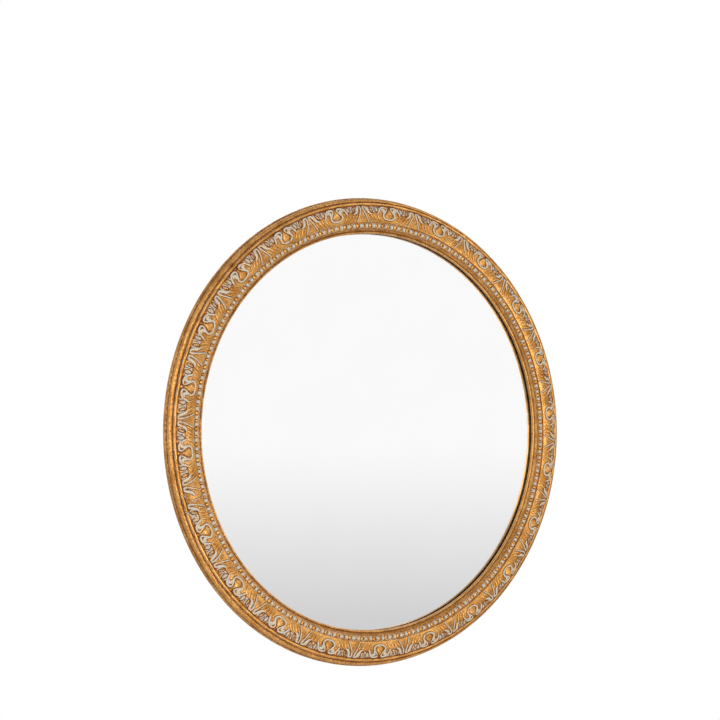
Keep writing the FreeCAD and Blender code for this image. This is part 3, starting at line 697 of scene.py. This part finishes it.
def bead_string(side):
    """The bead-and-reel string of one arc, in its channel."""
    start, end = arcs[side]["seams"]
    count = round(math.radians(end - start) * bead_middle_radius / bead_pitch)
    place_in_string = np.arange(count * string_samples + 1) / string_samples
    drift = np.interp(place_in_string / count, *arcs[side]["bead_drift"])
    distance = (place_in_string + cut_share - drift) % 1.0
    distance = np.minimum(distance, 1 - distance) * bead_pitch
    size, wash, shade = np.array([string_row(d) for d in distance]).T[:, :, None]
    bearing = np.linspace(start + seam_gap, end - seam_gap, len(size))[:, None]
    radius = bead_middle_radius + size * np.sin(string_sides)
    points = place(radius, string_height + size * np.cos(string_sides), bearing)
    along = np.radians(bearing) * bead_middle_radius * MM
    # Painted shade darkens the string's foot where it meets its base, and takes the wash off there
    low = np.clip(np.abs(string_sides) / math.pi * 2 - foot_start, 0, 1) * foot_painted_shade
    shell = Shell()
    shell.add_tube(points, wash * (1 - low), np.clip(shade + low, 0, 1), along, size * string_sides * MM)
    edge = strip_clearance
    inner, outer = bead_inner_radius + edge, frieze_inner_radius - edge
    # The base darkens down its inner wall: painted shade
    turned_tube(shell, np.array([
        (outer, bead_bed_height + edge, 0.4, 0.0), (outer, bead_base_height, 0.4, 0.3),
        (outer - base_border, bead_base_height, 0.3, 0.6), (bead_middle_radius, bead_base_height, 0.5, 0.5),
        (inner + base_border, bead_base_height, 0.35, 0.5), (inner, bead_base_height, 0.7, 0.3),
        (inner, bead_bed_height + edge, 1.0, 0.0)]), (start, end))
    obj = shell.piece("beads_" + side, [gilding], bead_sharp_degrees)
    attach(obj, "frame")
    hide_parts("bead_strip_" + side)


# The pane, of float glass with seamed edges, and the silver coat behind it

glass_radius = 260.0
glass_back, glass_front = 5.0, 9.0
seamed_edge = 0.7
coat_radius = 259.2
coat_back, coat_front = 4.9, 4.98
pane_columns = 240
no_lamps = bpy.data.collections.new("no_lamps")  # what the lamps leave out


def bridge(work, a, b):
    """Quads between two rings with as many points."""
    for i in range(len(a)):
        work.faces.new((a[i - 1], a[i], b[i], b[i - 1]))


def built_piece(work, name, materials):
    """A piece on the frame from a finished bmesh."""
    mesh = bpy.data.meshes.new(name)
    work.to_mesh(mesh)
    work.free()
    obj = finish_mesh(mesh, name, materials, plate_sharp_degrees)
    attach(obj, "frame")
    return obj


def round_plate(name, section, back_material, materials):
    """A round plate from rows of radius and height that run from its back's rim to its front's rim."""
    work = bmesh.new()
    bearings = np.linspace(0, full_turn, pane_columns, endpoint=False)
    rings = [[work.verts.new(point) for point in place(radius, height, bearings)]
             for radius, height in section]
    for a, b in zip(rings, rings[1:]):
        bridge(work, a, b)
    work.faces.new(rings[0]).material_index = back_material
    work.faces.new(rings[-1])
    return built_piece(work, name, materials)


def pane():
    """The pane and its silver coat, which the lamps don't show in."""
    silver = silvering()
    glass = round_plate("pane", (
        (glass_radius - seamed_edge, glass_back), (glass_radius, glass_back + seamed_edge),
        (glass_radius, glass_front - seamed_edge), (glass_radius - seamed_edge, glass_front)),
        1, [plain_glass(), silver])
    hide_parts("mirror_glass")
    coat = round_plate("silver_coat", ((coat_radius, coat_back), (coat_radius, coat_front)), 0, [silver])
    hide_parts("mirror_silvering")
    for obj in (glass, coat):
        no_lamps.objects.link(obj)
    for entry in no_lamps.collection_objects:
        entry.light_linking.link_state = "EXCLUDE"


# The screws, with cross recesses

button_bearings = range(30, 360, 60)
button_radius = 269.0
button_seat = 1.5
hanger_x, hanger_z = 262.88, 115.68
strap_screw_places = (25.0, 34.0)
strap_seat = 0.9
# A screw's rings: radius, and depth in the wood or height over the seat
screw_rings = ((0.4, -10.5), (1.75, -7.5), (1.75, 0.0), (3.4, 0.0), (3.4, 0.7), (3.15, 1.35), (2.7, 1.8),
               (2.2, 2.0))
screw_sides = 32
first_screw_turn, screw_turn_step = 0.3, 0.7  # radians
quarter_turns = ((1, 0), (0, 1), (-1, 0), (0, -1))
recess_arm, recess_half, recess_depth, recess_taper = 1.55, 0.36, 1.2, 0.7


def add_screw(work, x, z, seat, turn):
    """A pan-head screw in the frame's back: rings from its point to its crown, and a cross recess."""
    def at(across, up, depth):
        c, s = math.cos(turn), math.sin(turn)
        return work.verts.new(((x + across * c - up * s) * MM, (depth - standoff) * MM,
                               (z + across * s + up * c) * MM))

    angles = [math.tau * i / screw_sides for i in range(screw_sides)]
    rings = [[at(r * math.cos(t), r * math.sin(t), d if d < 0 else seat + d) for t in angles]
             for r, d in screw_rings]
    for a, b in zip(rings, rings[1:]):
        bridge(work, a, b)
    work.faces.new(rings[0])
    cross = [(recess_arm, -recess_half), (recess_arm, recess_half), (recess_half, recess_half)]
    corners = [(a * c - b * s, a * s + b * c) for c, s in quarter_turns for a, b in cross]
    top = seat + screw_rings[-1][1]
    rim = [at(a, b, top) for a, b in corners]
    pit = [at(a * recess_taper, b * recess_taper, top - recess_depth) for a, b in corners]
    bridge(work, rim, pit)
    work.faces.new(pit)
    loops = [work.edges.get((loop[i - 1], loop[i])) for loop in (rings[-1], rim) for i in range(len(loop))]
    bmesh.ops.triangle_fill(work, edges=loops, use_beauty=True)


def screws(name, node, places, seat):
    """All the screws of one kind as one piece."""
    work = bmesh.new()
    for i, (x, z) in enumerate(places):
        add_screw(work, x, z, seat, screw_turn_step * i + first_screw_turn)
    obj = built_piece(work, name, [steel])
    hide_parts(node)


for arc_name in arcs:
    moulding(arc_name)
    ornament(arc_name)
    bead_string(arc_name)
pane()
button_places = [(button_radius * math.sin(math.radians(b)), button_radius * math.cos(math.radians(b)))
                 for b in button_bearings]
hanger_places = [(sign * hanger_x, hanger_z - down) for sign in (-1, 1) for down in strap_screw_places]
screws("button_screw_set", "button_screws", button_places, button_seat)
screws("hanger_screw_set", "hanger_screws", hanger_places, strap_seat)

# The solids that show as they are, with materials, and softened edges in mm on the fittings
node_materials = {
    "backing_board": hardboard, "foam_sheet": foam, "edge_pads": cork, "joint_dowels": beech,
    "wall_bumpers": rubber}
node_materials.update({"turn_button_" + str(i): brass for i in range(1, 7)})
for hanger_side in ("left", "right"):
    node_materials["hanger_strap_" + hanger_side] = zinc
    node_materials["hanger_ring_" + hanger_side] = wire
bevels = {"turn_button": 0.25, "hanger_strap": 0.2, "wall_bumpers": 0.6, "backing_board": 0.4}
bevel_segments = 3
for node, material in node_materials.items():
    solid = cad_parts[node]
    solid.data.materials.clear()
    solid.data.materials.append(material)
    for start_of_name, width in bevels.items():
        if node.startswith(start_of_name):
            bevel = solid.modifiers.new("softened", "BEVEL")
            bevel.width = width * MM
            bevel.segments = bevel_segments
            bevel.limit_method = "ANGLE"


# The stage: floor, studio light, white surroundings and camera

floor_height = -0.78
floor_radius = 1.7
floor_fade_share = 0.45
floor_sides = 96
# Softboxes, with place and size in metres and power in watts
lamps = {
    "key": ((-1.8, -1.7, 0.5), 1.8, 25.0),
    "low": ((-0.1, -1.7, -0.65), 1.1, 16.0),
    "fill": ((1.6, -1.4, 1.6), 1.4, 10.0),
    "back": ((0.4, 2.0, 1.5), 1.4, 18.0),
}
# The camera: what it looks at, its swing in degrees to the left of the mirror's axis, and its distance
view_target = (0, -0.0235, 0)
view_swing = 33.86
view_distance = 1.8
focal_length, sensor_width = 70.1, 36.0
shift_x, shift_y = -0.0311, 0.1001
soft_grey = 0.62  # what lights the object from all round
# What reflections show of the surroundings: the rise of a direction, and its grey
mirrored_greys = ((-0.200, 0.56), (-0.134, 0.66), (-0.080, 0.82), (-0.040, 0.935), (-0.020, 0.985),
                  (-0.008, 1.0), (0.200, 1.0), (0.500, 0.74), (1.000, 0.52))


def floor_material():
    """Pale matt floor that fades out towards its rim."""
    m = Nodes("pale_floor")
    clouds = m.noise(m.position(), 3.0, 2.0)
    colour = m.mix(clouds, grey(0.80), grey(0.84))
    distance = m.node("ShaderNodeVectorMath", {0: m.position()}, operation="LENGTH").outputs["Value"]
    fade = m.span(distance, floor_radius * floor_fade_share, floor_radius, 1.0, 0.0)
    return m.done(Base_Color=colour, Roughness=0.9, Alpha=fade)


def floor():
    """A round floor below the mirror."""
    mesh = bpy.data.meshes.new("floor")
    angles = [math.tau * i / floor_sides for i in range(floor_sides)]
    rim = [(floor_radius * math.cos(t), floor_radius * math.sin(t), 0) for t in angles]
    mesh.from_pydata(rim, [], [list(range(floor_sides))])
    mesh.materials.append(floor_material())
    obj = bpy.data.objects.new("floor", mesh)
    obj.location = (0, 0, floor_height)
    bpy.context.scene.collection.objects.link(obj)


def surroundings():
    """White all round for the camera, greyer below the horizon in reflections, and soft light."""
    world = bpy.data.worlds.new("surroundings")
    bpy.context.scene.world = world
    world.use_nodes = True
    tree = world.node_tree
    background = tree.nodes["Background"]

    def add(kind, **settings):
        made = tree.nodes.new(kind)
        for key, value in settings.items():
            setattr(made, key, value)
        return made

    def link(a, b):
        tree.links.new(a, b)

    path = add("ShaderNodeLightPath")
    split = add("ShaderNodeSeparateXYZ")
    link(add("ShaderNodeTexCoord").outputs["Generated"], split.inputs[0])
    ramp = add("ShaderNodeValToRGB")
    lift = add("ShaderNodeMapRange")
    lift.inputs["From Min"].default_value = -1.0
    lift.inputs["From Max"].default_value = 1.0
    link(split.outputs["Z"], lift.inputs["Value"])
    link(lift.outputs["Result"], ramp.inputs["Fac"])
    while len(ramp.color_ramp.elements) < len(mirrored_greys):
        ramp.color_ramp.elements.new(0.5)
    for element, (rise, level) in zip(ramp.color_ramp.elements, mirrored_greys):
        element.position = (rise + 1) / 2
        element.color = grey(level)
    mirrored = add("ShaderNodeMath", operation="MAXIMUM")
    link(path.outputs["Is Glossy Ray"], mirrored.inputs[0])
    link(path.outputs["Is Transmission Ray"], mirrored.inputs[1])
    soft = add("ShaderNodeMix", data_type="RGBA")
    soft.inputs[6].default_value = grey(soft_grey)
    link(mirrored.outputs[0], soft.inputs["Factor"])
    link(ramp.outputs["Color"], soft.inputs[7])
    seen = add("ShaderNodeMix", data_type="RGBA")
    link(path.outputs["Is Camera Ray"], seen.inputs["Factor"])
    link(soft.outputs[2], seen.inputs[6])
    seen.inputs[7].default_value = grey(1.0)
    link(seen.outputs[2], background.inputs["Color"])
    background.inputs["Strength"].default_value = 1.0


def aim(obj, target):
    """Turns a lamp or camera towards a point."""
    direction = Vector(target) - obj.location
    obj.rotation_euler = direction.to_track_quat("-Z", "Y").to_euler()


def softbox(name, location, size, power):
    """A square area lamp that faces the mirror's middle and doesn't show in the pane."""
    lamp = bpy.data.lights.new(name, "AREA")
    lamp.size = size
    lamp.energy = power
    obj = bpy.data.objects.new(name, lamp)
    obj.location = location
    obj.light_linking.receiver_collection = no_lamps
    bpy.context.scene.collection.objects.link(obj)
    aim(obj, (0, 0, 0))


def camera():
    """The photograph's view: from the left of the mirror's axis, level with its middle."""
    target = Vector(view_target)
    swing = math.radians(view_swing)
    lens = bpy.data.cameras.new("camera")
    lens.lens = focal_length
    lens.sensor_width = sensor_width
    lens.shift_x = shift_x
    lens.shift_y = shift_y
    obj = bpy.data.objects.new("camera", lens)
    obj.location = target + Vector((-math.sin(swing), -math.cos(swing), 0)) * view_distance
    bpy.context.scene.collection.objects.link(obj)
    aim(obj, target)
    bpy.context.scene.camera = obj


floor()
surroundings()
for lamp_name, lamp_settings in lamps.items():
    softbox(lamp_name, *lamp_settings)
camera()
bpy.context.scene.view_settings.view_transform = "Standard"
